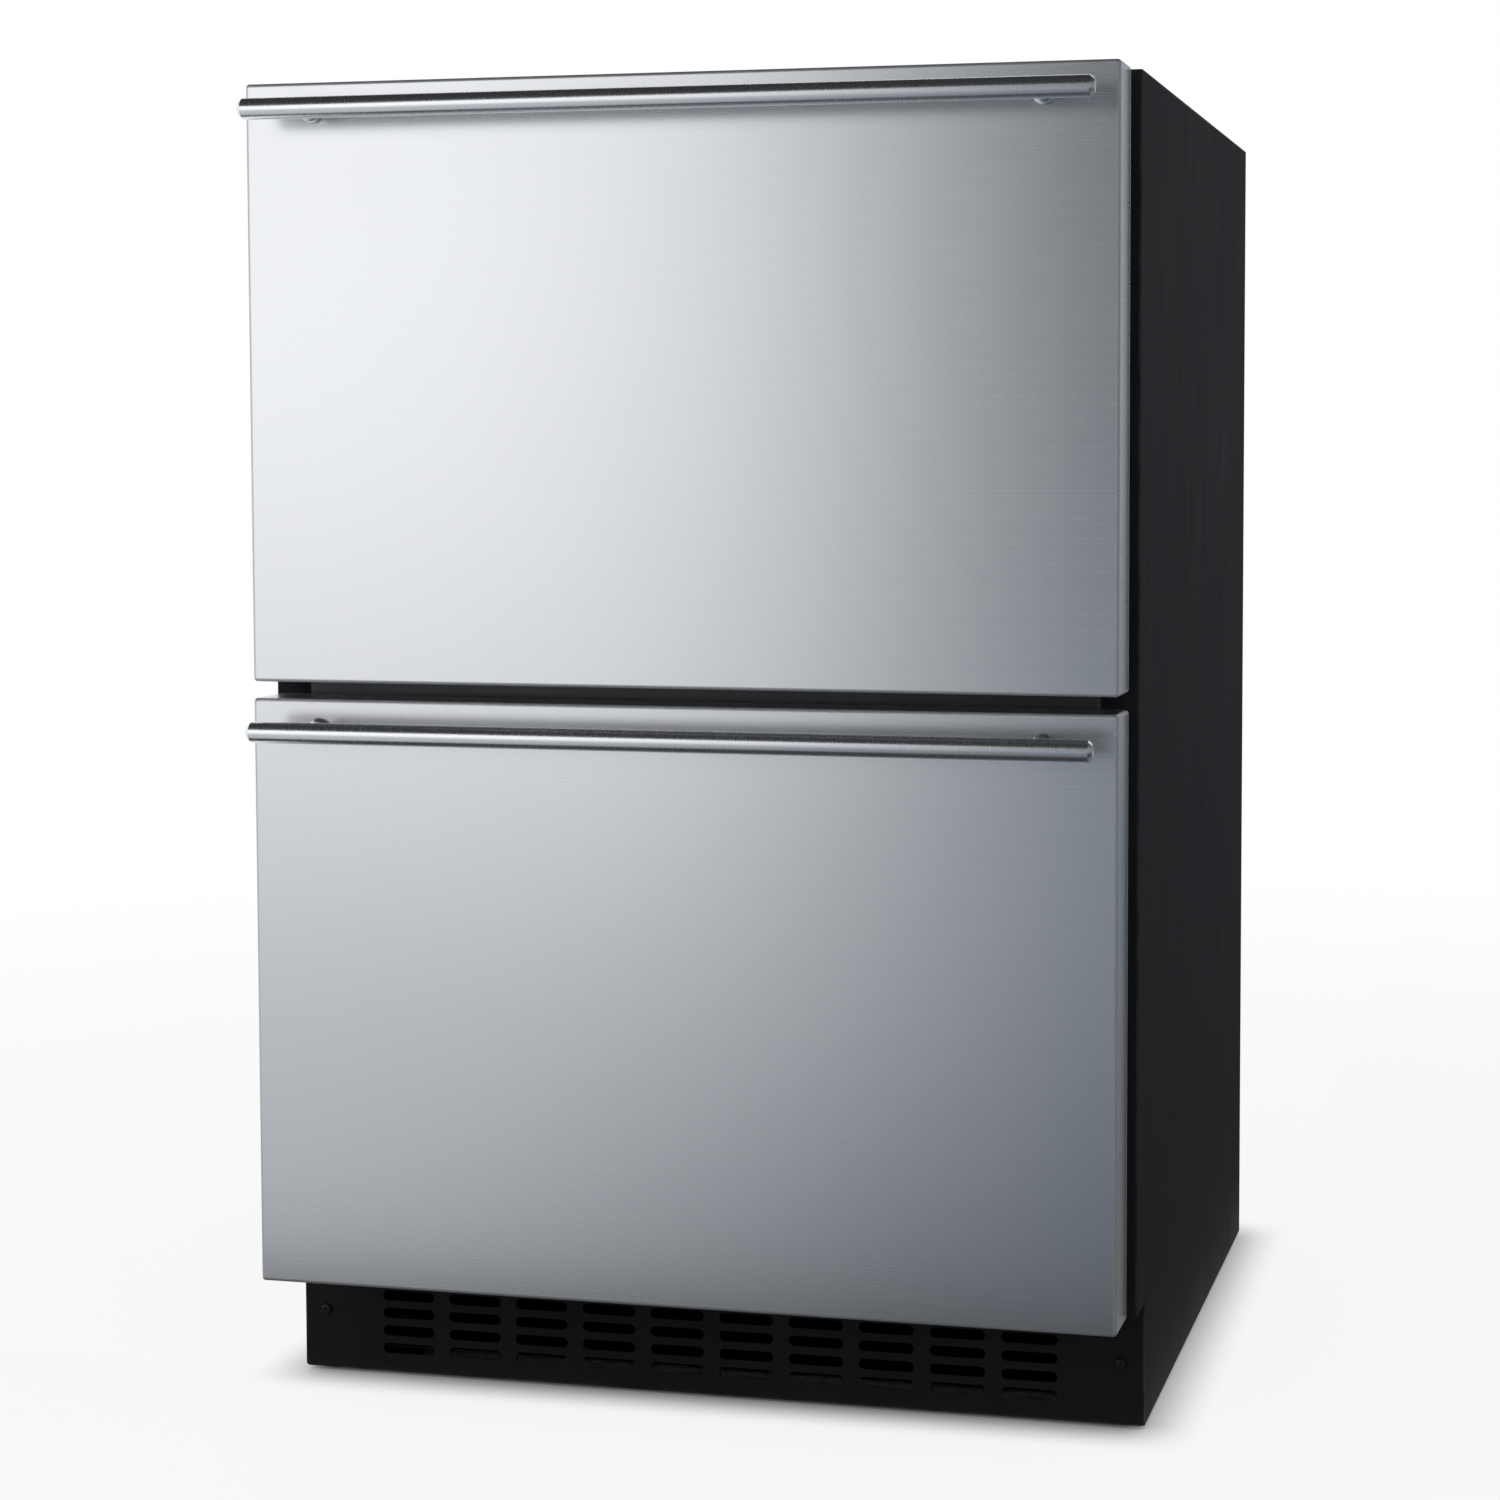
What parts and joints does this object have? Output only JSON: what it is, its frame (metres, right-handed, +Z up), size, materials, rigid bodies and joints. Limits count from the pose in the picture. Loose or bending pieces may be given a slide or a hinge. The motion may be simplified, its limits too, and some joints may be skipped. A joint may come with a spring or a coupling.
{
  "type": "undercounter drawer refrigerator",
  "caption": "Undercounter refrigerator with two steel-fronted drawers on telescopic slides, round bar handles, black steel cabinet and slotted kick plate.",
  "frame": {"origin": "bottom centre of the closed refrigerator's box, on the floor", "axes": "+Z up, -Y towards the drawer fronts, +X to the right as seen from the front"},
  "size_m": [0.597, 0.625, 0.889],
  "materials": {
    "front_steel": "horizontally brushed stainless steel",
    "bar_steel": "fine satin stainless steel",
    "black_paint": "black powder coat, satin",
    "black_screw": "blackened steel",
    "black_plastic": "moulded black plastic",
    "gasket": "soft black magnetic seal",
    "zinc_steel": "zinc-plated sheet steel",
    "liner": "white thermoformed plastic, semi-gloss",
    "bin": "pale grey moulded plastic",
    "foam": "closed-cell foam",
    "lens": "frosted white lens",
    "fins": "thin aluminium fins",
    "compressor_paint": "black enamel"
  },
  "bodies": {
    "cabinet": {"left_side_panel": "black_paint", "right_side_panel": "black_paint", "top_panel": "black_paint", "back_panel": "black_paint", "underside_panel": "black_paint", "inner_liner": "liner", "insulation_foam": "foam", "centre_rail": "black_paint", "light_bar": "lens", "control_housing": "liner", "kick_grille": "black_paint", "kick_screw_left": "black_screw", "kick_screw_right": "black_screw", "base_pan": "zinc_steel", "evaporator_cover": "liner", "evaporator_coil": "fins", "evaporator_fan_motor": "black_plastic", "condenser_coil": "fins", "condenser_fan_shroud": "zinc_steel", "condenser_fan_motor": "black_plastic", "compressor": "compressor_paint", "drip_pan": "black_plastic", "rear_machine_cover": "black_paint", "cord_inlet": "black_plastic", "lower_left_outer_rail": "zinc_steel", "lower_right_outer_rail": "zinc_steel", "upper_left_outer_rail": "zinc_steel", "upper_right_outer_rail": "zinc_steel"},
    "lower_drawer": {"lower_front_skin": "front_steel", "lower_front_core": "foam", "lower_front_inner_panel": "liner", "lower_gasket": "gasket", "lower_handle_bar": "bar_steel", "lower_handle_post_left": "bar_steel", "lower_handle_post_right": "bar_steel", "lower_bin": "bin", "lower_left_inner_rail": "zinc_steel", "lower_right_inner_rail": "zinc_steel"},
    "lower_slides": {"lower_left_mid_rail": "zinc_steel", "lower_right_mid_rail": "zinc_steel"},
    "upper_drawer": {"upper_front_skin": "front_steel", "upper_front_core": "foam", "upper_front_inner_panel": "liner", "upper_gasket": "gasket", "upper_handle_bar": "bar_steel", "upper_handle_post_left": "bar_steel", "upper_handle_post_right": "bar_steel", "upper_bin": "bin", "upper_left_inner_rail": "zinc_steel", "upper_right_inner_rail": "zinc_steel"},
    "upper_slides": {"upper_left_mid_rail": "zinc_steel", "upper_right_mid_rail": "zinc_steel"},
    "evaporator_fan": {"evaporator_fan_blade": "black_plastic"},
    "condenser_fan": {"condenser_fan_blade": "black_plastic"},
    "dial": {"thermostat_dial": "black_plastic"},
    "foot_front_left": {"levelling_foot_front_left": "black_plastic"},
    "foot_front_right": {"levelling_foot_front_right": "black_plastic"},
    "foot_rear_left": {"levelling_foot_rear_left": "black_plastic"},
    "foot_rear_right": {"levelling_foot_rear_right": "black_plastic"}
  },
  "joints": [
    {"name": "lower_drawer_slide", "type": "slide", "parent": "cabinet", "child": "lower_drawer", "axis": [0, -1, 0], "range_m": [0, 0.4]},
    {"name": "lower_slides_travel", "type": "slide", "parent": "cabinet", "child": "lower_slides", "axis": [0, -1, 0], "range_m": [0, 0.2]},
    {"name": "upper_drawer_slide", "type": "slide", "parent": "cabinet", "child": "upper_drawer", "axis": [0, -1, 0], "range_m": [0, 0.4]},
    {"name": "upper_slides_travel", "type": "slide", "parent": "cabinet", "child": "upper_slides", "axis": [0, -1, 0], "range_m": [0, 0.2]},
    {"name": "evaporator_fan_spin", "type": "hinge", "parent": "cabinet", "child": "evaporator_fan", "pos_m": [0, 0.2125, 0.754], "axis": [0, 1, 0], "continuous": true},
    {"name": "condenser_fan_spin", "type": "hinge", "parent": "cabinet", "child": "condenser_fan", "pos_m": [-0.0907, 0.237, 0.0968], "axis": [1, 0, 0], "continuous": true},
    {"name": "dial_turn", "type": "hinge", "parent": "cabinet", "child": "dial", "pos_m": [-0.198, -0.1705, 0.8257], "axis": [0, -1, 0], "range_deg": [0, 270]},
    {"name": "foot_front_left_turn", "type": "hinge", "parent": "cabinet", "child": "foot_front_left", "pos_m": [-0.2485, -0.1433, 0.0148], "axis": [0, 0, 1], "range_deg": [0, 1080]},
    {"name": "foot_front_right_turn", "type": "hinge", "parent": "cabinet", "child": "foot_front_right", "pos_m": [0.2485, -0.1433, 0.0148], "axis": [0, 0, 1], "range_deg": [0, 1080]},
    {"name": "foot_rear_left_turn", "type": "hinge", "parent": "cabinet", "child": "foot_rear_left", "pos_m": [-0.2485, 0.2625, 0.0148], "axis": [0, 0, 1], "range_deg": [0, 1080]},
    {"name": "foot_rear_right_turn", "type": "hinge", "parent": "cabinet", "child": "foot_rear_right", "pos_m": [0.2485, 0.2625, 0.0148], "axis": [0, 0, 1], "range_deg": [0, 1080]}
  ],
  "couplings": [
    {"joint": "lower_slides_travel", "follows": "lower_drawer_slide", "ratio": 0.5},
    {"joint": "upper_slides_travel", "follows": "upper_drawer_slide", "ratio": 0.5}
  ]
}
